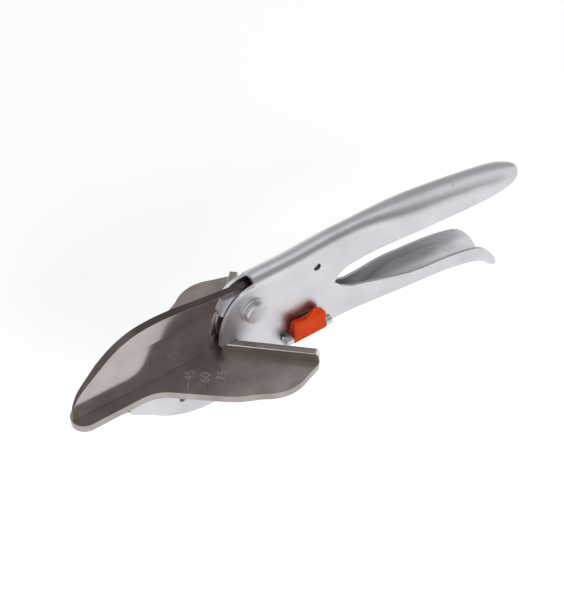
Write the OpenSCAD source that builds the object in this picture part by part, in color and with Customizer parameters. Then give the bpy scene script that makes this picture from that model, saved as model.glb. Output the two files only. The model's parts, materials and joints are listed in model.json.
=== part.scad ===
// Mitre shear for plastic trunking, profile and small pipe: a thin blade closes on a flat anvil
// whose two winged 45 degree stops hold the work. Units are millimetres.
// Tool frame used while drawing: X runs back to the handle ends, Y to the far side, Z up,
// with the zero on the anvil's face where the two stops would meet.

/* [Anvil] */
// From the stops' meeting point forward to the nose of the anvil
anvil_reach = 59.4; // [50:0.1:70]
// Half of the anvil's width along the blade
anvil_half = 5.4; // [4.8:0.1:6.4]
// From the middle out to a wing tip
wing_reach = 33.6; // [28:0.1:38]
// Thickness of the anvil plate
anvil_t = 3; // [2.4:0.1:4]
// Height of the mitre stops above the anvil face
stop_h = 4; // [3:0.1:6]
// Thickness of the mitre stops
stop_t = 3; // [2:0.1:4]
// Depth of the keel under the anvil plate
keel_h = 12; // [9:0.5:14]

/* [Blade] */
// Thickness of the blade at its back
blade_t = 3.2; // [2.4:0.1:3.6]
// Height of the blade's back above the anvil at its highest
blade_h = 29; // [26:0.5:31]
// Width of the ground bevel, measured up from the edge
bevel_h = 20; // [14:0.5:22]
// Width of land left at the cutting edge
edge_t = 0.2; // [0.1:0.05:0.4]

/* [Pivot] */
// Distance of the pivot behind the stops' meeting point
pivot_x = 16.6; // [15.5:0.1:17.6]
// Height of the pivot above the anvil face
pivot_z = 14.8; // [14:0.1:15.4]
// Diameter of the pivot bolt's shank
bolt_d = 5; // [4:0.1:5.6]
// Diameter of the pivot washers
washer_d = 10.8; // [9.5:0.1:12]
// Thickness of the pivot washers
washer_t = 0.8; // [0.5:0.1:1.2]
// Diameter of the bolt's flat head
head_d = 9; // [8:0.1:10]
// Height of the bolt's flat head
head_h = 2; // [1.4:0.1:2.6]

/* [Upper handle] */
// Sheet thickness of the upper handle
sheet_t = 1.5; // [1.2:0.1:1.8]
// Half of the upper handle's width at the cheeks
cheek_half = 4.5; // [4.4:0.05:5]
// Half of the upper handle's width in the grip
grip_half = 7.6; // [6.4:0.1:9]
// Height of the roof's crown where the handle leaves the cheeks
roof_z = 30.5; // [30:0.1:32]
// How much lower the crown is at the mouth
mouth_drop = 1.3; // [0:0.1:1.6]
// How far the crown falls from the cheeks to the tip
roof_drop = 11; // [9:0.1:15]
// Where the upper handle ends
tip_x = 153.6; // [145:0.1:165]
// Diameter of the small cross hole in the cheeks
cross_hole_d = 3.2; // [2.4:0.1:4]

/* [Lower handle] */
// Sheet thickness of the lower handle
lever_t = 1.2; // [1:0.05:1.3]
// Half of the lower handle's width in the grip
lever_grip_half = 7.75; // [6.4:0.05:9]
// Height of the lower handle's floor where it leaves the cheeks
floor_z = -16; // [-18:0.1:-15]
// How far the floor falls from there to the handle's end
floor_drop = 16; // [12:0.1:19]
// Where the lower handle ends
lever_end_x = 143; // [138:0.5:150]

/* [Catch] */
// Diameter of the catch's pin
catch_pin_d = 2.2; // [1.8:0.1:2.6]
// Distance of the pin from the cheek's face
catch_off = 2.6; // [2.4:0.1:3.2]
// Height of the catch pin against the anvil face
catch_z = -7.5; // [-8.2:0.1:-6.8]
// Length of the orange catch along the cheek
catch_len = 15; // [13:0.5:17]

/* [Hidden] */

gap = 0.3;                  // running gap between the handles
fit = 0.04;                 // radial clearance of pins in their holes
slack = 0.3;                // clearance round parts that only pass each other
$fn = 48;

carrier_x = -38;            // front end of the lower jaw under the anvil
cheek_front_x = 1.7;        // front edge of the cheeks above the anvil
mouth_x = 18;               // front end of the roof
flare_x = 66;               // the handles widen from here
flare_len = 31;             // to here
lever_half = cheek_half - sheet_t - gap;      // lower handle between the cheeks
lever_in = blade_t / 2;                       // its walls clasp the blade
wall_t = lever_half - lever_in;               // so this is their thickness there
low_z = floor_z - floor_drop;                 // lowest point of the shear
mid_x = (tip_x - anvil_reach) / 2;            // middle of its length
bolt_r = bolt_d / 2;
bush_r = bolt_r + fit + 0.9;
catch_pin_r = catch_pin_d / 2;
catch_y = -(cheek_half + catch_off);          // the catch is on the near side
catch_x0 = 32.5;
knuckle_w = 3;
ear_t = 1;
tongue_w = 5;
tongue_t = 1.5;
tongue_x = catch_x0 + 6;
tongue_z = catch_z + 5.5;    // low enough to stay hidden in the catch
spring_x = 33;
spring_z0 = 13.5;           // spring seat
spring_z1 = 25.4;           // spring cap
spring_r = 2;
spring_wire = 0.7;
spring_turns = 7;
plug_h = 1.2;               // thickness of the spring's cap and seat
peg_h = 2.5;
peg_r = spring_r - spring_wire / 2 - slack;
hole_x = 46.2;
hole_z = 20.3;
stop_in_y = 3;              // the stops start this far from the middle
ledge = 0.2;                // the plate stands this far out behind and beside the stops
stop_run = (stop_t + ledge) * sqrt(2);
curl = 0.36;                // share of the floor's fall that comes in the curl at its end
curl_len = 15;              // length of that curl
pin_recess = 1;             // the anvil's pins end this far inside the cheeks' faces
foot_x = cheek_half + stop_run + ledge;       // the cheeks pass the plate behind this
keel_half = cheek_half - sheet_t - fit;

steel = [0.78, 0.78, 0.79];
dark_steel = [0.33, 0.30, 0.29];
bright = [0.86, 0.86, 0.87];
orange = [0.82, 0.24, 0.05];

// Eases from 0 to 1 between a and b
function ease(x, a, b) = let (f = max(0, min(1, (x - a) / (b - a)))) f * f * (3 - 2 * f);

// Points of an arc about c with half-axes rx and rz, from angle a0 to a1
function arc(c, rx, rz, a0, a1, steps = 8) =
    [for (i = [0 : steps]) let (a = a0 + (a1 - a0) * i / steps) c + [rx * cos(a), rz * sin(a)]];

// Half-width of each handle at x
function roof_half(x) = cheek_half + (grip_half - cheek_half) * ease(x, flare_x - 2, flare_x + flare_len);
function lever_half_at(x) =
    lever_half + (lever_grip_half - lever_half) * ease(x, flare_x - 9, flare_x + flare_len);

// Height of the upper handle's crown and of the lower handle's floor at x
function crown(x) = roof_z - mouth_drop * (1 - ease(x, spring_x, 56))
    - roof_drop * pow(max(0, x - flare_x) / (tip_x - flare_x), 1.6);
function floor_at(x) =
    let (t = max(0, x - flare_x + 10) / (lever_end_x - flare_x + 10))
    floor_z - floor_drop * ((1 - curl) * pow(t, 2.6) + curl * pow(t, 12));

// Joins rings of equal point counts, each lying in a plane of its own, into one solid
module loft(rings) {
    n = len(rings[0]);
    m = len(rings);
    sides = [for (i = [0 : m - 2]) for (j = [0 : n - 1])
        let (k = (j + 1) % n)
        each [[i * n + j, i * n + k, (i + 1) * n + k], [i * n + j, (i + 1) * n + k, (i + 1) * n + j]]];
    first = [for (j = [n - 1 : -1 : 0]) j];
    last = [for (j = [0 : n - 1]) (m - 1) * n + j];
    polyhedron([for (r = rings) each r], concat(sides, [first], [last]));
}

// A round-topped section across the handle at x: half-width w, round of height h over the
// spring line z, legs down (or up, with way -1) to the level far
function dee(x, w, h, z, far, way = 1) = concat(
    [[x, -way * w, far]],
    [for (a = [0 : 10 : 180]) [x, -way * w * cos(a), z + way * h * sin(a)]],
    [[x, way * w, far]]);

// Extrudes a side outline, drawn in X and Z, across the tool from y0 to y1
module across(y0, y1) {
    translate([0, y1, 0]) rotate([90, 0, 0]) linear_extrude(y1 - y0) children();
}

// A round bar or hole across the tool at x, z, from y0 to y1
module cross_bar(x, z, r, y0, y1) {
    translate([x, y1, z]) rotate([90, 0, 0]) cylinder(r = r, h = y1 - y0);
}

// Moves the drawing so that the origin is under the middle of the shear, at its lowest point
module place() {
    translate([-mid_x, 0, -low_z]) children();
}

/* ---- upper handle: roof, cheeks and the jaw that carries the anvil, pressed from one sheet ---- */

tip_round = 17;             // length of the domed tip
tip_rim_z = 15;             // the dome closes on its rim at this height
roof_steps = [39, 45, 51, 56];      // sections where the crown rises to its full height
legs_z = -40;               // section legs reach below every cut

// Solid of the handle's back, drawn in by the distance inset on all sides
module roof_body(inset, x0) {
    deep = legs_z - inset;
    dome_x = tip_x - tip_round;
    grip = [for (i = [0 : 12]) flare_x - 2 + (dome_x - flare_x + 2) * i / 12];
    straight = [for (x = concat([x0, spring_x], roof_steps, grip))
        let (w = roof_half(x)) dee(x, w - inset, w - inset, crown(x) - w, deep)];
    domed = [for (a = [15, 30, 45, 58, 69, 79, 86])
        let (x = dome_x + (tip_round - inset) * sin(a),
             w = (grip_half - inset) * cos(a),
             z0 = crown(dome_x) - grip_half,
             z = z0 + (tip_rim_z - z0) * sin(a),
             top = tip_rim_z + (crown(x) - tip_rim_z) * pow(cos(a), 0.6))
        dee(x, w, (top - z) * (grip_half - inset) / grip_half, z, deep)];
    loft(concat(straight, domed));
}

belly_c = [-2, 17];         // centre of the belly's round outline
belly_r = 40.4;
cheek_low_z = -12.4;        // lower edge of the cheeks
cheek_back_x = 54;          // the cheeks end here and the handle's flanges begin

function upper_outline() = concat(
    [[tip_x + 3, roof_z + 5], [mouth_x + 0.6, roof_z + 5], [mouth_x - 0.4, roof_z - 3.4]],
    arc([mouth_x - 0.4, 5], mouth_x - 0.4 - cheek_front_x, 21, 90, 180, 9),
    [[cheek_front_x, stop_h + ledge], [foot_x, stop_h + ledge], [foot_x, -anvil_t],
     [carrier_x + 1.2, -anvil_t], [carrier_x - 0.8, -anvil_t - 2.1], [carrier_x + 0.5, -7.1]],
    arc(belly_c, belly_r, belly_r, 227, 309, 12),
    [[26, cheek_low_z - 0.6], [30, cheek_low_z], [cheek_back_x - 3, cheek_low_z - 0.6]],
    arc([cheek_back_x - 3, cheek_low_z + 2.4], 3, 3, 270, 360, 4),
    [[cheek_back_x, 3]],
    arc([63, 3.5], 9, 9.5, 180, 100, 5),
    [[76, 14.6], [88, 15.7], [104, 15.3], [120, 14.2], [132, 14], [140, 14.6],
     [148, 14.8], [tip_x + 3, tip_rim_z]]);

module upper_handle() color(steel) difference() {
    union() {
        intersection() {
            difference() {
                roof_body(0, carrier_x - 2);
                roof_body(sheet_t, carrier_x - 3);
            }
            across(-12, 12) polygon(upper_outline());
        }
        for (x = [catch_x0 - slack - knuckle_w, catch_x0 + catch_len + slack]) knuckle(x);
    }
    cross_bar(pivot_x, pivot_z, bolt_r + fit, -12, 12);
    cross_bar(hole_x, hole_z, cross_hole_d / 2, -12, 12);
    for (p = [front_pin, rear_pin]) cross_bar(p[0], p[1], anvil_pin_r + fit, -12, 12);
    tongue_window(-cheek_half - 1, -cheek_half + sheet_t + 1, 1);
}

// One curled ear that holds the catch's pin beside the near cheek
module knuckle(x) {
    ear_r = catch_pin_r + ear_t;
    difference() {
        union() {
            translate([x, catch_y, catch_z]) rotate([0, 90, 0]) cylinder(r = ear_r, h = knuckle_w);
            translate([x, catch_y, catch_z - ear_r]) cube([knuckle_w, catch_off + 0.5, ear_t]);
        }
        translate([x - 1, catch_y, catch_z]) rotate([0, 90, 0])
            cylinder(r = catch_pin_r + fit, h = knuckle_w + 2);
    }
}

// Room for the catch's tongue to swing through a wall between y0 and y1
module tongue_window(y0, y1, spare) {
    translate([tongue_x - slack - spare / 2, y0, tongue_z - tongue_t / 2 - 1.3])
        cube([tongue_w + 2 * slack + spare, y1 - y0, tongue_t + 1.3 + slack + 0.2]);
}

/* ---- anvil: nose, two wings with their mitre stops, and the keel between the jaw's cheeks ---- */

front_pin = [-16, -12.4];   // pins through the jaw and the keel
rear_pin = [4, -9.5];
anvil_pin_r = 1.6;
wing_c = [14, 19.2];        // centre of a wing's round tip
keel_step_x = 0.8;          // the keel is joined to the plate in front of this

function half_plate() = concat(
    [[-anvil_reach, 0]],
    arc([-anvil_reach + anvil_half, 0], anvil_half, anvil_half, 165, 95, 5),
    [[-33, anvil_half]],
    arc([-33, anvil_half + 14], 14, 14, 270, 312, 4),
    [[-5.6, 25.2]],
    arc(wing_c, 15.5, wing_reach - wing_c[1], 135, 60, 6),
    [[28.2, 29.6], [29.8, 28], [29.8, 29.8 - stop_run], [stop_run, 0]]);

// The whole plate: one half and its mirror image, walked round the other way
function plate() =
    let (h = half_plate(), n = len(h))
    concat(h, [for (i = [n - 2 : -1 : 1]) [h[i][0], -h[i][1]]]);

// One mitre stop along the 45 degree line, with its outer top corner rounded
module mitre_stop() {
    start = stop_in_y * sqrt(2) - stop_t;
    end = 28.7 * sqrt(2);
    round_r = 1.5;
    rotate([0, 0, 45]) difference() {
        translate([start, -stop_t, -0.5]) cube([end - start, stop_t, stop_h + 0.5]);
        translate([start - 1, -stop_t, stop_h]) rotate([45, 0, 0])
            cube([end - start + 2, 0.8, 0.8]);
        difference() {
            translate([end - round_r, -stop_t - 1, stop_h - round_r]) cube([5, stop_t + 2, 5]);
            translate([end - round_r, 1, stop_h - round_r]) rotate([90, 0, 0])
                cylinder(r = round_r, h = stop_t + 2);
        }
    }
}

module anvil() color(dark_steel) difference() {
    union() {
        translate([0, 0, -anvil_t]) linear_extrude(anvil_t) polygon(plate());
        for (side = [0, 1]) mirror([0, side, 0]) difference() {
            mitre_stop();
            translate([-5, -20, -1]) cube([64, 20 + stop_in_y, stop_h + 4]);
        }
        across(-keel_half, keel_half) polygon([
            [-50, -anvil_t + 0.1], [-43, -anvil_t - 2.6], [-38, -anvil_t - 3.6],
            [-30, -anvil_t - keel_h + 4], [-22, -anvil_t - keel_h], [8, -anvil_t - keel_h],
            [10, -anvil_t - 1], [keel_step_x, -anvil_t - 1], [keel_step_x, -anvil_t + 0.1]]);
    }
    for (p = [front_pin, rear_pin]) cross_bar(p[0], p[1], anvil_pin_r + fit, -12, 12);
}

// Pin through the jaw's cheeks and the keel, short of flush
module anvil_pin(p) color(bright)
    cross_bar(p[0], p[1], anvil_pin_r, -cheek_half + pin_recess, cheek_half - pin_recess);

/* ---- pivot ---- */

module pivot_bolt() color(bright) {
    seat_y = cheek_half + washer_t;
    cross_bar(pivot_x, pivot_z, bolt_r, -seat_y, seat_y + 3.6);
    difference() {
        cross_bar(pivot_x, pivot_z, head_d / 2, -seat_y - head_h, -seat_y);
        rim_cut();
    }
}

// Takes the sharp rim off the bolt's head
module rim_cut() {
    rim = 0.5;
    translate([pivot_x, -cheek_half - washer_t - head_h, pivot_z]) rotate([-90, 0, 0]) difference() {
        translate([0, 0, -1]) cylinder(r = head_d / 2 + 1, h = rim + 1);
        translate([0, 0, -0.01]) cylinder(r1 = head_d / 2 - rim, r2 = head_d / 2 + 0.01, h = rim + 0.02);
    }
}

module washer(side) color(bright) {
    y0 = side > 0 ? cheek_half : -cheek_half - washer_t;
    difference() {
        cross_bar(pivot_x, pivot_z, washer_d / 2, y0, y0 + washer_t);
        cross_bar(pivot_x, pivot_z, bolt_r + fit, y0 - 1, y0 + washer_t + 1);
    }
}

module pivot_nut() color(bright) {
    y0 = cheek_half + washer_t;
    difference() {
        translate([pivot_x, y0 + 3, pivot_z]) rotate([90, 0, 0]) cylinder(d = 9.2, h = 3, $fn = 6);
        cross_bar(pivot_x, pivot_z, bolt_r + fit, y0 - 1, y0 + 4);
    }
}

module pivot_bush() color(dark_steel) difference() {
    cross_bar(pivot_x, pivot_z, bush_r, -lever_half, lever_half);
    cross_bar(pivot_x, pivot_z, bolt_r + fit, -12, 12);
}

/* ---- lower handle and blade ---- */

front_rivet = [pivot_x + 7.2, pivot_z + 3.5];
rear_rivet = [pivot_x + 6.4, pivot_z - 5.8];
rivet_r = 1.5;

function lever_outline() = concat(
    [[2.4, 21], [4.6, 24.8], [10, 24.2], [14, 23.6], [pivot_x + 4, 23]],
    arc([pivot_x, pivot_z], 13, 7.2, 40, 5, 3),
    [[spring_x - 3.5, spring_z0 - plug_h], [spring_x + 3.5, spring_z0 - plug_h],
     [spring_x + 6, 8.4], [46, 7.6], [52, 7.4], [56, 5.6], [60, 1.6], [65, -0.8],
     [74, -2.4], [84, -3.8], [97, -6], [108, -7], [115, -8], [121.5, -9.3], [128, -11.1],
     [132, -13.1], [135.2, -15.8], [138, -19], [140.2, -22.3], [141.9, -25.6],
     [lever_end_x - 0.2, -28.5], [lever_end_x, -30.2], [lever_end_x, low_z - 2],
     [60, low_z - 2], [36, floor_z - 1], [31, -10], [22, 4],
     [13, 8.5], [4.5, 16.6], [2.8, 18.5]]);

// Solid inside of the lower handle's skin, drawn in by the distance inset
module lever_body(inset_wall, inset_floor, x0) {
    curl_x = lever_end_x - curl_len;
    grip = [for (i = [0 : 12]) flare_x - 10 + (curl_x - flare_x + 10) * i / 12];
    curled = [for (i = [1 : 6]) curl_x + curl_len * i / 5];
    loft([for (x = concat([x0], grip, curled))
        let (w = lever_half_at(x),
             k = ease(x, flare_x - 9, flare_x + 6),
             t = inset_wall == 0 ? 0 : wall_t + (lever_t - wall_t) * k)
        dee(x, w - t, w - t, floor_at(x) + w, -legs_z + inset_wall, -1)]);
}

module lower_handle() color(steel) difference() {
    intersection() {
        difference() {
            lever_body(0, 0, -2);
            lever_body(1, 1, -3);
        }
        across(-12, 12) polygon(lever_outline());
    }
    cross_bar(pivot_x, pivot_z, bush_r + fit, -12, 12);
    for (p = [front_rivet, rear_rivet]) cross_bar(p[0], p[1], rivet_r + fit, -12, 12);
    tongue_window(-lever_half - 1, -lever_in + 1, 0.6);
}

function blade_outline() = concat(
    [[2, 0.1], [-anvil_reach + 0.4, 0.1], [-anvil_reach + 0.5, 4], [-58, 7.2], [-55.6, 11.6]],
    [[-53.4, 13.8], [-50.4, 16.6], [-47.5, 19.3], [-43, 23], [-38, 26], [-32, 28.2], [-26, blade_h - 0.1]],
    [[-21, blade_h], [-14, blade_h - 0.4], [-4, 27.1], [6, 26], [12, 25.4],
     [pivot_x + 0.4, 25], [pivot_x + 5.4, 24]],
    arc([pivot_x, pivot_z], 12.5, 8.5, 50, 0, 4),
    [[27.4, 8], [24, 5.6], [18.5, 5.4], [12, 8.6], [6, 8], [3, 3.6]]);

// Ground bevel on one face: a thin wedge that ends in an arc about the pivot
module bevel() {
    tilt = atan((blade_t - edge_t) / 2 / bevel_h);
    difference() {
        translate([-anvil_reach - 5, edge_t / 2, 0]) rotate([-tilt, 0, 0]) translate([0, 0, -5])
            cube([anvil_reach + 20, 5, blade_h + 15]);
        cross_bar(pivot_x + 4, pivot_z, 19, -20, 20);
    }
}

module blade() color(dark_steel) difference() {
    across(-blade_t / 2, blade_t / 2) polygon(blade_outline());
    bevel();
    mirror([0, 1, 0]) bevel();
    cross_bar(pivot_x, pivot_z, bush_r + fit, -12, 12);
    for (p = [front_rivet, rear_rivet]) cross_bar(p[0], p[1], rivet_r + fit, -12, 12);
}

// Flush rivet that ties the blade between the lower handle's walls
module blade_rivet(p) color(bright) cross_bar(p[0], p[1], rivet_r, -lever_half, lever_half);

/* ---- opening spring between the roof and the lower handle ---- */

module opening_spring() color(bright) {
    rings_per_turn = 8;
    count = spring_turns * rings_per_turn;
    rise = (spring_z1 - spring_z0 - spring_wire - 0.3) / count;
    pitch_gap = rise * rings_per_turn - spring_wire;
    echo(least_gap_between_turns = pitch_gap);
    translate([spring_x, 0, spring_z0 + spring_wire / 2 + 0.15])
        loft([for (i = [0 : count])
            let (a = 360 * i / rings_per_turn)
            [for (b = [0 : 60 : 300])
                [(spring_r + spring_wire / 2 * cos(b)) * cos(a),
                 (spring_r + spring_wire / 2 * cos(b)) * sin(a),
                 rise * i + spring_wire / 2 * sin(b)]]]);
}

// Plug under the roof with a peg for the spring
module spring_cap() color(bright) {
    half = sqrt(pow(cheek_half - sheet_t, 2) - pow(spring_z1 + plug_h - crown(0) + cheek_half, 2)) - gap;
    translate([spring_x - 4, -half, spring_z1]) cube([8, 2 * half, plug_h]);
    translate([spring_x, 0, spring_z1 - peg_h]) cylinder(r = peg_r, h = peg_h + 0.1);
}

// Saddle on the lower handle's walls with a peg for the spring
module spring_seat() color(bright) {
    translate([spring_x - 3, -lever_half, spring_z0 - plug_h]) cube([6, 2 * lever_half, plug_h]);
    translate([spring_x, 0, spring_z0 - 0.1]) cylinder(r = peg_r, h = peg_h + 0.1);
}

/* ---- catch ---- */

function catch_top() = [for (p = [
    [0, -3.5], [catch_len, -3.5], [catch_len, 6.9], [catch_len - 0.6, 7.5], [catch_len - 3.2, 10.2],
    [10.6, 10.1], [8.2, 8.8], [5.5, 7.9], [1, 8.7], [0, 8.3]]) p + [0, catch_z]];

module catch_lever() color(orange) {
    barrel_r = catch_pin_r + 1.2;
    difference() {
        intersection() {
            translate([catch_x0, 0, 0]) across(-14, 0) polygon(catch_top());
            translate([catch_x0, 0, 0]) rotate([90, 0, 90]) linear_extrude(catch_len)
                polygon(concat(
                    arc([catch_y, catch_z], barrel_r, barrel_r, 200, 340, 8),
                    [[catch_y + barrel_r, catch_z], [catch_y + 1.8, catch_z + 2],
                     [catch_y + 0.3, catch_z + 10.4], [catch_y, catch_z + 10.4],
                     [catch_y - 1.8, catch_z + 7.4], [catch_y - 1.8, catch_z]]));
        }
        translate([catch_x0 - 1, catch_y, catch_z]) rotate([0, 90, 0])
            cylinder(r = catch_pin_r + fit, h = catch_len + 2);
        tongue_solid(fit);
    }
}

// Steel tongue set in the catch, its tip just inside the near cheek's window
module tongue_solid(grow) {
    tip_y = -cheek_half + sheet_t - 0.1;
    root_y = -cheek_half - 3.4;
    translate([tongue_x - grow, root_y - grow, tongue_z - tongue_t / 2 - grow])
        cube([tongue_w + 2 * grow, tip_y - root_y, tongue_t + 2 * grow]);
}

module catch_tongue() color(bright) tongue_solid(0);

module catch_pin() color(bright)
    translate([catch_x0 - slack - knuckle_w - 0.3, catch_y, catch_z]) rotate([0, 90, 0])
        cylinder(r = catch_pin_r, h = catch_len + 2 * slack + 2 * knuckle_w + 0.6);

place() upper_handle();
place() anvil();
place() anvil_pin(front_pin);  // front_anvil_pin
place() anvil_pin(rear_pin);  // rear_anvil_pin
place() pivot_bolt();
place() washer(-1);  // near_washer
place() washer(1);  // far_washer
place() pivot_nut();
place() lower_handle();
place() blade();
place() pivot_bush();
place() blade_rivet(front_rivet);  // front_blade_rivet
place() blade_rivet(rear_rivet);  // rear_blade_rivet
place() opening_spring();
place() spring_cap();
place() spring_seat();
place() catch_lever();
place() catch_tongue();
place() catch_pin();
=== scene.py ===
import bmesh
import bpy
import json
import math
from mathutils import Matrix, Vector


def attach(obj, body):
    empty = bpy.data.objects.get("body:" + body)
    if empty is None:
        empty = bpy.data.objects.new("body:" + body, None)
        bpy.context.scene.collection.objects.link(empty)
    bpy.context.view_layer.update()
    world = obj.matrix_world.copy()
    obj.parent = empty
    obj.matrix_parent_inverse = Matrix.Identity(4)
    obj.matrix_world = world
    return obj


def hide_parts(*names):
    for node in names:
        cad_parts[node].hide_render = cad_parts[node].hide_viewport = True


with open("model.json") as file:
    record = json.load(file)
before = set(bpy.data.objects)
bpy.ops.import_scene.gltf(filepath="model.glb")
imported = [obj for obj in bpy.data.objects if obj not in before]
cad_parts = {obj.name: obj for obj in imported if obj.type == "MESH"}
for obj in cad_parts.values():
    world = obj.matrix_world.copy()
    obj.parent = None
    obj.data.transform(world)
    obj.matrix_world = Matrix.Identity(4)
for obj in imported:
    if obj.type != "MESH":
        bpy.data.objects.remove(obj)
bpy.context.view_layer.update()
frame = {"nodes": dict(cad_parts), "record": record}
nodes = frame["nodes"]


def mm(*values):  # millimetres to metres
    return tuple(v / 1000 for v in values) if len(values) > 1 else values[0] / 1000


def hexColour(text):  # sRGB hex to the linear values that shaders take
    parts = [int(text[i:i + 2], 16) / 255 for i in (0, 2, 4)]
    return tuple(c / 12.92 if c <= 0.04045 else ((c + 0.055) / 1.055) ** 2.4 for c in parts) + (1,)


def only(piece=None):  # this piece alone is selected, or nothing
    bpy.ops.object.select_all(action="DESELECT")
    if piece:
        piece.select_set(True)
        bpy.context.view_layer.objects.active = piece


def emptyTree(owner):
    owner.use_nodes = True
    owner.node_tree.nodes.clear()
    return owner.node_tree


def addNode(tree, kind, links=(), **values):  # one shader node, its socket values and its inputs
    node = tree.nodes.new(kind)
    for name, value in values.items():
        setattr(node, name, value)
    for socket, source in links:
        if isinstance(source, bpy.types.NodeSocket):
            tree.links.new(source, node.inputs[socket])
        else:
            node.inputs[socket].default_value = source
    return node


# grain sizes are drawn coarser than real grinding lines (about 0.05 mm), so that they show at the
# picture's size; bump is the strength of the relief
# pressed sheet under bright plate: soft mirror with broad clouds and a faint orange peel
platedSteel = {"colour": "D6D5D9", "dull": "C9C8CC", "metal": 1, "rough": 0.33, "bump": 0.05,
               "cloudMm": 14, "orangePeelMm": 1.6}
# milled and oiled: warm grey, dull, with an even grain that hardly shows
darkSteel = {"colour": "9F9591", "pale": "B5ACA8", "metal": 0.85, "rough": 0.3, "bump": 0.01,
             "grainMm": 0.5, "cloudMm": 9}
# ground flat and left bare: a clear mirror, lines along the stroke
groundSteel = {"colour": "AAA09E", "pale": "B8AEAC", "metal": 0.95, "rough": 0.13, "bump": 0.25,
               "grainMm": 0.35, "cloudMm": 12, "stretch": (1, 1, 0.08)}
# heat-blackened before grinding: brown-black, the blade's rim and back
blackSteel = {"colour": "564B49", "pale": "63575A", "metal": 0.8, "rough": 0.3, "bump": 0.25,
              "grainMm": 0.4, "cloudMm": 8}
# turned and bare: even pale grey
plainSteel = {"colour": "A9A9AB", "pale": "C0C0C2", "metal": 1, "rough": 0.24, "bump": 0.25,
              "grainMm": 0.4, "cloudMm": 5}
# injection moulded: matt, saturated, hardly any mirror
orangeNylon = {"colour": "D63C0A", "pale": "DE4A12", "metal": 0, "rough": 0.5, "bump": 0.15,
               "grainMm": 0.3, "cloudMm": 4, "mirror": 0.2}
# the stops' upright faces are painted darker than the wing, a painted shade, so that the step shows against
# the paler wing
paintedShadeOnUprights = {"colour": "7A716D", "pale": "857C78", "metal": 0.85, "rough": 0.32, "bump": 0.02,
            "grainMm": 0.6, "cloudMm": 6}
# a painted highlight: a thin bright line along each stop's bevelled upper edge
paintedHighlightEdge = {"colour": "D9D5D3", "pale": "E3E0DE", "metal": 1, "rough": 0.25, "bump": 0.02,
              "grainMm": 0.6, "cloudMm": 6}
# stamped and scribed through the dark skin: thin pale strokes that show against the wing
bareStroke = {"colour": "BDB5B0", "pale": "D2CBC6", "metal": 0.2, "rough": 0.3, "bump": 0.25,
              "grainMm": 0.3, "cloudMm": 2}


def startMaterial(name, look):
    material = bpy.data.materials.new(name)
    tree = emptyTree(material)
    shader = addNode(tree, "ShaderNodeBsdfPrincipled", [("Metallic", look["metal"])])
    addNode(tree, "ShaderNodeOutputMaterial", [("Surface", shader.outputs["BSDF"])])
    place = addNode(tree, "ShaderNodeTexCoord").outputs["Object"]
    return material, tree, shader, place


def noise(tree, place, sizeMm, detail):
    return addNode(tree, "ShaderNodeTexNoise", [
        ("Vector", place), ("Scale", 1000 / sizeMm), ("Detail", detail)]).outputs["Fac"]


def spread(tree, value, low, high):  # a noise's middle range to low..high
    return addNode(tree, "ShaderNodeMapRange", [
        ("Value", value), ("From Min", 0.3), ("From Max", 0.7),
        ("To Min", low), ("To Max", high)]).outputs[0]


def tint(tree, shader, cloud, dark, pale):  # the colour drifts from dark to pale with the cloud
    mix = addNode(tree, "ShaderNodeMix", data_type="RGBA")
    tree.links.new(spread(tree, cloud, 0, 1), mix.inputs[0])
    mix.inputs[6].default_value = hexColour(dark)
    mix.inputs[7].default_value = hexColour(pale)
    tree.links.new(mix.outputs[2], shader.inputs["Base Color"])


def roughen(tree, shader, height, strength, deepMm):
    bump = addNode(tree, "ShaderNodeBump", [
        ("Height", height), ("Strength", strength), ("Distance", mm(deepMm))])
    tree.links.new(bump.outputs["Normal"], shader.inputs["Normal"])


def platedMaterial(name, look):
    material, tree, shader, place = startMaterial(name, look)
    cloud = noise(tree, place, look["cloudMm"], 3)
    tint(tree, shader, cloud, look["dull"], look["colour"])
    tree.links.new(spread(tree, cloud, look["rough"] + 0.05, look["rough"]), shader.inputs["Roughness"])
    roughen(tree, shader, noise(tree, place, look["orangePeelMm"], 2), look["bump"], 0.05)
    return material


def grainedMaterial(name, look):
    material, tree, shader, place = startMaterial(name, look)
    tint(tree, shader, noise(tree, place, look["cloudMm"], 4), look["colour"], look["pale"])
    drawn = addNode(tree, "ShaderNodeMapping", [
        ("Vector", place), ("Scale", look.get("stretch", (1, 1, 1)))]).outputs["Vector"]
    grain = noise(tree, drawn, look["grainMm"], 3)
    rough = spread(tree, grain, look["rough"] - 0.03, look["rough"] + 0.04)
    tree.links.new(rough, shader.inputs["Roughness"])
    roughen(tree, shader, grain, look["bump"], 0.03)
    if "mirror" in look:
        shader.inputs["Specular IOR Level"].default_value = look["mirror"]
    return material


chrome = platedMaterial("bright chrome plate", platedSteel)
anvilSteel = grainedMaterial("dark oiled anvil steel", darkSteel)
bladeSteel = grainedMaterial("ground blade steel", groundSteel)
blackenedSteel = grainedMaterial("blackened steel of the blade's back", blackSteel)
pinSteel = grainedMaterial("plain turned steel", plainSteel)
catchNylon = grainedMaterial("orange moulded nylon", orangeNylon)
# painted shade: the stops' upright faces are coloured darker than the wing
paintedShadeSteel = grainedMaterial("painted shade on the upright stop faces", paintedShadeOnUprights)
# painted highlight: a bright colour along the stops' bevelled upper edges
paintedHighlightSteel = grainedMaterial("painted highlight on the stops' edges", paintedHighlightEdge)
markSteel = grainedMaterial("stamped bare steel", bareStroke)
print("materials made")

finishes = {
    "upper_handle": chrome, "lower_handle": chrome, "pivot_bolt": chrome, "near_washer": chrome,
    "far_washer": chrome, "pivot_nut": chrome, "anvil": anvilSteel, "blade": bladeSteel,
    "catch_lever": catchNylon}
for name, piece in nodes.items():
    piece.data.materials.clear()
    piece.data.materials.append(finishes.get(name, pinSteel))
print("finishes given to", len(nodes), "nodes")

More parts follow.
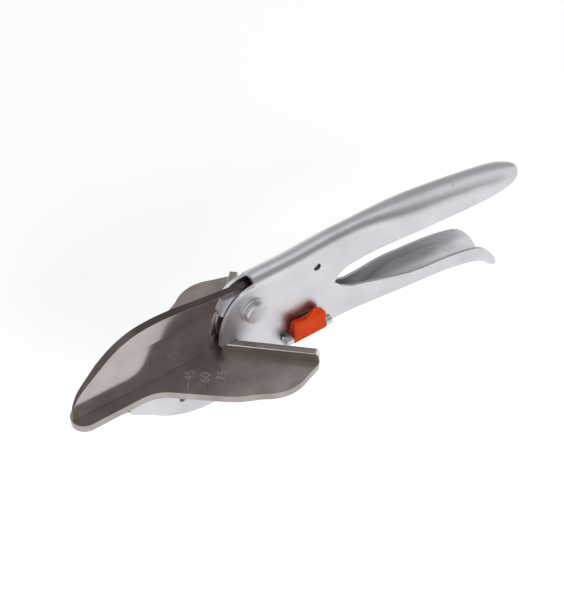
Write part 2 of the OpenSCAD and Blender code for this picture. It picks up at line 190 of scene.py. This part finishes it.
# how far the sharp edges of each dressed copy are broken, in mm
edges = {"upper_handle": 0.0, "lower_handle": 0.0, "anvil": 0.32, "blade": 0.12, "catch_lever": 0.5,
         "pivot_bolt": 0.2, "near_washer": 0.12, "far_washer": 0.12, "pivot_nut": 0.25}
# turns are degrees between two faces: flat ones are joined, smooth ones shaded as one, sharp ones broken
shading = {"weldMm": 0.002, "flatTurn": 0.3, "creaseTurn": 2, "smoothTurn": 32, "sharpTurn": 50}
# where a crease stays crisp although it is shallow: the roof's foot along the upper handle, and the
# blade's ground faces
creases = {"upper_handle": lambda a, b: (abs(a.z) < 0.03) != (abs(b.z) < 0.03),
           "blade": lambda a, b: max(abs(a.y), abs(b.y)) > 0.5}
# an outline's slight corners, along this axis, are rounded off by a share of their shorter side
rims = {"axis": {"anvil": 2, "blade": 1}, "alongAxis": 0.999, "shortestMm": 0.3, "leastTurn": 2,
        "mostTurn": 40, "share": 0.42, "leastMm": 0.2, "segments": 4}
# the anvil's stops: their long upper edges lie above edgeMm and their faces above faceMm; a face's
# rise, 0 upright to 1 level, tells which are upright (painted shade), which are bevelled edges (painted
# highlight) and which are tops
stops = {"edgeMm": 33.5, "longMm": 4, "faceMm": 32.3, "uprightRise": 0.15, "topRise": 0.97}
bladeFaces = {"groundTurn": 0.5}  # a face turned at least this much to the side is ground bright
bodyOf = {name: body for body, names in frame["record"]["behaviour"]["bodies"].items() for name in names}


def roundRim(piece, axis):  # in edit mode: each slight corner becomes an arc
    shape = bmesh.from_edit_mesh(piece.data)
    shape.normal_update()
    corners = []
    for edge in shape.edges:
        along = edge.verts[1].co - edge.verts[0].co
        if len(edge.link_faces) != 2 or along.length < mm(rims["shortestMm"]):
            continue
        if abs(along.normalized()[axis]) < rims["alongAxis"]:
            continue
        if not math.radians(rims["leastTurn"]) < edge.calc_face_angle(0) < math.radians(rims["mostTurn"]):
            continue
        sides = []
        for face in edge.link_faces:
            spans = [math.sqrt(sum((v.co[k] - edge.verts[0].co[k]) ** 2 for k in range(3) if k != axis))
                     for v in face.verts]
            sides.append(max(spans))
        corners.append((edge, rims["share"] * min(sides)))
    for edge, offset in corners:
        if edge.is_valid and offset > mm(rims["leastMm"]):
            bmesh.ops.bevel(shape, geom=[edge], offset=offset, offset_type="OFFSET",
                            segments=rims["segments"], profile=0.5, affect="EDGES", clamp_overlap=True)
    bmesh.update_edit_mesh(piece.data)


def bevelStopEdges(piece, breakMm):  # in edit mode: bevels the stops' long upper edges, before their ends get short pieces; these bevel faces get the painted highlight
    shape = bmesh.from_edit_mesh(piece.data)
    shape.normal_update()
    longOnes = [e for e in shape.edges if len(e.link_faces) == 2 and e.calc_length() > mm(stops["longMm"])
                and min(v.co.z for v in e.verts) > mm(stops["edgeMm"])
                and e.calc_face_angle(0) > math.radians(shading["sharpTurn"])]
    bmesh.ops.bevel(shape, geom=longOnes, offset=mm(breakMm), offset_type="OFFSET", segments=2,
                    profile=0.5, affect="EDGES", clamp_overlap=False)
    bmesh.update_edit_mesh(piece.data)
    print("stop edges bevelled:", len(longOnes))


def keepCreases(piece, isCrease):
    meeting = {}
    for face in piece.data.polygons:
        for key in face.edge_keys:
            meeting.setdefault(key, []).append(face.normal)
    for edge in piece.data.edges:
        pair = meeting.get(edge.key, [])
        if len(pair) != 2 or pair[0].angle(pair[1], 0) <= math.radians(shading["creaseTurn"]):
            continue
        if isCrease(*pair):
            edge.use_edge_sharp = True


def dressedCopy(node, breakMm):  # a smooth-shaded copy of a node; the solid itself stays as it is
    piece = nodes[node].copy()
    piece.data = nodes[node].data.copy()
    for key in list(piece.keys()):
        del piece[key]
    piece.name = node + "_dressed"
    piece.parent = None
    bpy.context.scene.collection.objects.link(piece)
    only(piece)
    bpy.ops.object.mode_set(mode="EDIT")
    bpy.ops.mesh.select_all(action="SELECT")
    bpy.ops.mesh.remove_doubles(threshold=mm(shading["weldMm"]))
    bpy.ops.mesh.dissolve_limited(angle_limit=math.radians(shading["flatTurn"]))
    if node == "anvil":
        bevelStopEdges(piece, breakMm)
    if node in rims["axis"]:
        roundRim(piece, rims["axis"][node])
    bpy.ops.mesh.customdata_custom_splitnormals_clear()
    bpy.ops.object.mode_set(mode="OBJECT")
    if breakMm:
        bevel = piece.modifiers.new("broken edges", "BEVEL")
        bevel.limit_method, bevel.angle_limit = "ANGLE", math.radians(shading["sharpTurn"])
        bevel.width, bevel.segments, bevel.use_clamp_overlap = mm(breakMm), 2, True
        bpy.ops.object.modifier_apply(modifier=bevel.name)
    bpy.ops.object.shade_smooth_by_angle(angle=math.radians(shading["smoothTurn"]))
    if node in creases:
        keepCreases(piece, creases[node])
    weigh = piece.modifiers.new("flat faces stay flat", "WEIGHTED_NORMAL")
    weigh.keep_sharp = True
    bpy.ops.object.modifier_apply(modifier=weigh.name)
    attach(piece, bodyOf[node])
    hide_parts(node)
    return piece


for name, breakMm in edges.items():
    piece = dressedCopy(name, breakMm)
    if name == "blade":  # only its two faces are ground bright
        piece.data.materials.append(blackenedSteel)
        for face in piece.data.polygons:
            if abs(face.normal.y) < bladeFaces["groundTurn"]:
                face.material_index = 1
    if name == "anvil":  # above the wings' face: upright faces get a painted shade, and the bevelled upper edges a painted highlight
        piece.data.materials.append(paintedShadeSteel)
        piece.data.materials.append(paintedHighlightSteel)
        for face in piece.data.polygons:
            if face.center.z > mm(stops["faceMm"]):
                rise = face.normal.z
                face.material_index = 1 if rise < stops["uprightRise"] else 2 if rise < stops["topRise"] else 0
print("copies dressed:", len(edges))

# angle numbers, and the short lines scribed from them to the wing's edge: a number's text and place,
# a line's two ends, in mm from the stops' meeting point
marks = {"numberMm": 5.2, "thinnerMm": 0.09, "deepMm": 0.02, "lineMm": 0.28, "endShare": 0.6,
         "lineEdgeMm": 0.005, "faceMm": 32.0, "readingTurn": 50,
         "numbers": (("45", -13.4, -6.0), ("60", -9.4, -10.2), ("75", -3.9, -13.2)),
         "lines": ((-15.8, -8.8, -18.4, -11.8), (-10.4, -13.4, -13.1, -17.1), (-4.4, -17.3, -6.0, -22.6))}
middleX = 47.1  # from the stops' meeting point to the frame's origin


def settle(piece, body, material):  # place into the mesh, then ride
    only(piece)
    bpy.ops.object.transform_apply(location=True, rotation=True, scale=True)
    piece.data.materials.clear()
    piece.data.materials.append(material)
    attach(piece, body)


for text, x, y in marks["numbers"]:
    only()
    bpy.ops.object.text_add(location=mm(x - middleX, y, marks["faceMm"]),
                            rotation=(0, 0, math.radians(marks["readingTurn"])))
    number = bpy.context.object
    number.name = "angle_number_" + text
    number.data.body, number.data.size = text, mm(marks["numberMm"])
    number.data.extrude = mm(marks["deepMm"])
    number.data.align_x, number.data.align_y = "CENTER", "CENTER"
    number.data.offset = -mm(marks["thinnerMm"])  # thinner strokes, as a stamp leaves
    bpy.ops.object.convert(target="MESH")
    settle(bpy.context.object, bodyOf["anvil"], markSteel)
for i, (x0, y0, x1, y1) in enumerate(marks["lines"]):
    only()
    bpy.ops.mesh.primitive_cylinder_add(vertices=16, radius=mm(marks["lineMm"] / 2),
                                        depth=mm(2 * marks["deepMm"]),
                                        location=mm(x0 - middleX, y0, marks["faceMm"]),
                                        rotation=(0, 0, math.atan2(y1 - y0, x1 - x0)))
    line = bpy.context.object
    line.name = "angle_line_" + str(i + 1)
    bpy.ops.object.mode_set(mode="EDIT")
    shape = bmesh.from_edit_mesh(line.data)
    for corner in shape.verts:  # drawn out to a thin round-ended stroke that narrows towards the rim
        if corner.co.x > mm(0.01):
            corner.co.x += mm(math.hypot(x1 - x0, y1 - y0))
            corner.co.y *= marks["endShare"]
    bmesh.update_edit_mesh(line.data)
    bpy.ops.mesh.select_all(action="SELECT")
    bpy.ops.mesh.bevel(offset=mm(marks["lineEdgeMm"]), segments=1, affect="EDGES")
    bpy.ops.object.mode_set(mode="OBJECT")
    settle(line, bodyOf["anvil"], markSteel if i == 0 else bladeSteel)
print("angle marks made")

# half-round punch mark on the upper handle's back: a ring laid on the roof by two turns in degrees,
# and cut off cutMm short of its middle
punch = {"x": 115.0, "y": -1.5, "z": 57.85, "radiusMm": 1.35, "wireMm": 0.14, "lean": 11, "fall": 6.0,
         "cutMm": 0.3}
only()
bpy.ops.mesh.primitive_torus_add(location=mm(punch["x"] - middleX, punch["y"], punch["z"]),
                                 rotation=(math.radians(punch["lean"]), math.radians(punch["fall"]), 0),
                                 major_radius=mm(punch["radiusMm"]), minor_radius=mm(punch["wireMm"]),
                                 major_segments=32, minor_segments=10)
punchMark = bpy.context.object
punchMark.name = "punch_mark"
bpy.ops.object.mode_set(mode="EDIT")
bpy.ops.mesh.select_all(action="SELECT")
bpy.ops.mesh.bisect(plane_co=mm(punch["x"] - middleX - punch["cutMm"], 0, 0), plane_no=(1, 0, 0),
                    clear_inner=True, use_fill=True)
bpy.ops.object.mode_set(mode="OBJECT")
settle(punchMark, bodyOf["upper_handle"], anvilSteel)
print("punch mark made")

# a lamp's name, place and size; a card's name, place, light and size
studio = {"floorHalf": 1.5, "floorDropMm": 5, "floorShade": "E6E6E6", "floorGlow": 0.74,
          "worldLight": 0.18, "aim": (0, 0, 0.03), "keyWatts": 5.2, "fillWatts": 0.35,
          "key": ("key", (-0.1, -0.85, 0.3), 0.5), "fill": ("fill", (-0.4, 0.1, 0.7), 0.4),
          "cards": (("studio_card_high", (0.5, 0.75, 0.95), 0.5, 1.1),
                    ("studio_card_near", (0.47, -0.72, 0.72), 0.28, 0.95),
                    ("studio_card_end", (0.7, 0.5, 0.22), 0.45, 0.75))}
plainWhite = (1, 1, 1, 1)


def straightSeen(tree):  # 1 for what the camera sees directly, in a mirror or through glass
    rays = addNode(tree, "ShaderNodeLightPath").outputs
    seen = rays["Is Camera Ray"]
    for kind in ("Is Glossy Ray", "Is Transmission Ray"):
        seen = addNode(tree, "ShaderNodeMath", [(0, seen), (1, rays[kind])], operation="MAXIMUM").outputs[0]
    return seen


only()
bpy.ops.mesh.primitive_plane_add(size=2 * studio["floorHalf"], location=(0, 0, -mm(studio["floorDropMm"])))
floor = bpy.context.object
floor.name = "studio_floor"
material = bpy.data.materials.new("white studio floor")
tree = emptyTree(material)
seen = straightSeen(tree)
matte = addNode(tree, "ShaderNodeBsdfDiffuse", [("Color", hexColour(studio["floorShade"]))])
glow = addNode(tree, "ShaderNodeEmission", [("Color", plainWhite), ("Strength", studio["floorGlow"])])
both = addNode(tree, "ShaderNodeAddShader", [(0, matte.outputs[0]), (1, glow.outputs[0])])
mix = addNode(tree, "ShaderNodeMixShader", [(0, seen), (1, matte.outputs[0]), (2, both.outputs[0])])
addNode(tree, "ShaderNodeOutputMaterial", [("Surface", mix.outputs[0])])
floor.data.materials.append(material)

world = bpy.data.worlds.new("studio")
bpy.context.scene.world = world
tree = emptyTree(world)
seen = straightSeen(tree)
soft = addNode(tree, "ShaderNodeBackground", [("Color", plainWhite), ("Strength", studio["worldLight"])])
white = addNode(tree, "ShaderNodeBackground", [("Color", plainWhite), ("Strength", 1.0)])
mix = addNode(tree, "ShaderNodeMixShader", [(0, seen), (1, soft.outputs[0]), (2, white.outputs[0])])
addNode(tree, "ShaderNodeOutputWorld", [("Surface", mix.outputs[0])])


def areaLamp(name, place, size, watts):
    lamp = bpy.data.lights.new(name, "AREA")
    lamp.energy, lamp.size = watts, size
    holder = bpy.data.objects.new(name, lamp)
    bpy.context.scene.collection.objects.link(holder)
    holder.location = place
    holder.rotation_euler = (Vector(studio["aim"]) - Vector(place)).to_track_quat("-Z", "Y").to_euler()
    holder.visible_glossy = False  # the metal shows the cards and the white room, not the lamps


# grey cards, which the tops of the plated handles mirror as two bands with a bright streak between them
for name, place, light, size in studio["cards"]:
    only()
    bpy.ops.mesh.primitive_plane_add(size=size, location=place,
                                     rotation=Vector(place).to_track_quat("Z", "Y").to_euler())
    card = bpy.context.object
    card.name = name
    card.visible_camera = False
    card.visible_diffuse = False
    material = bpy.data.materials.new("grey studio card")
    tree = emptyTree(material)
    glow = addNode(tree, "ShaderNodeEmission", [("Color", plainWhite), ("Strength", light)])
    addNode(tree, "ShaderNodeOutputMaterial", [("Surface", glow.outputs[0])])
    card.data.materials.append(material)

areaLamp(*studio["key"], studio["keyWatts"])
areaLamp(*studio["fill"], studio["fillWatts"])

# the lens is given as the photo's focal length and height in pixels
shot = {"target": (-0.0097, 0.006, 0.032), "turn": -36.3, "rise": 44.0, "distance": 0.5,
        "focalPx": 1285, "heightPx": 600, "sensorMm": 36}
turn, rise = math.radians(shot["turn"]), math.radians(shot["rise"])
back = Vector((math.sin(turn) * math.cos(rise), -math.cos(turn) * math.cos(rise), math.sin(rise)))
lens = bpy.data.cameras.new("camera")
lens.sensor_width = shot["sensorMm"]
lens.lens = shot["focalPx"] * shot["sensorMm"] / shot["heightPx"]
lens.clip_start = 0.01
camera = bpy.data.objects.new("camera", lens)
bpy.context.scene.collection.objects.link(camera)
camera.location = Vector(shot["target"]) + back * shot["distance"]
camera.rotation_euler = (-back).to_track_quat("-Z", "Y").to_euler()
bpy.context.scene.camera = camera
bpy.context.scene.view_settings.view_transform = "Standard"
print("stage set")
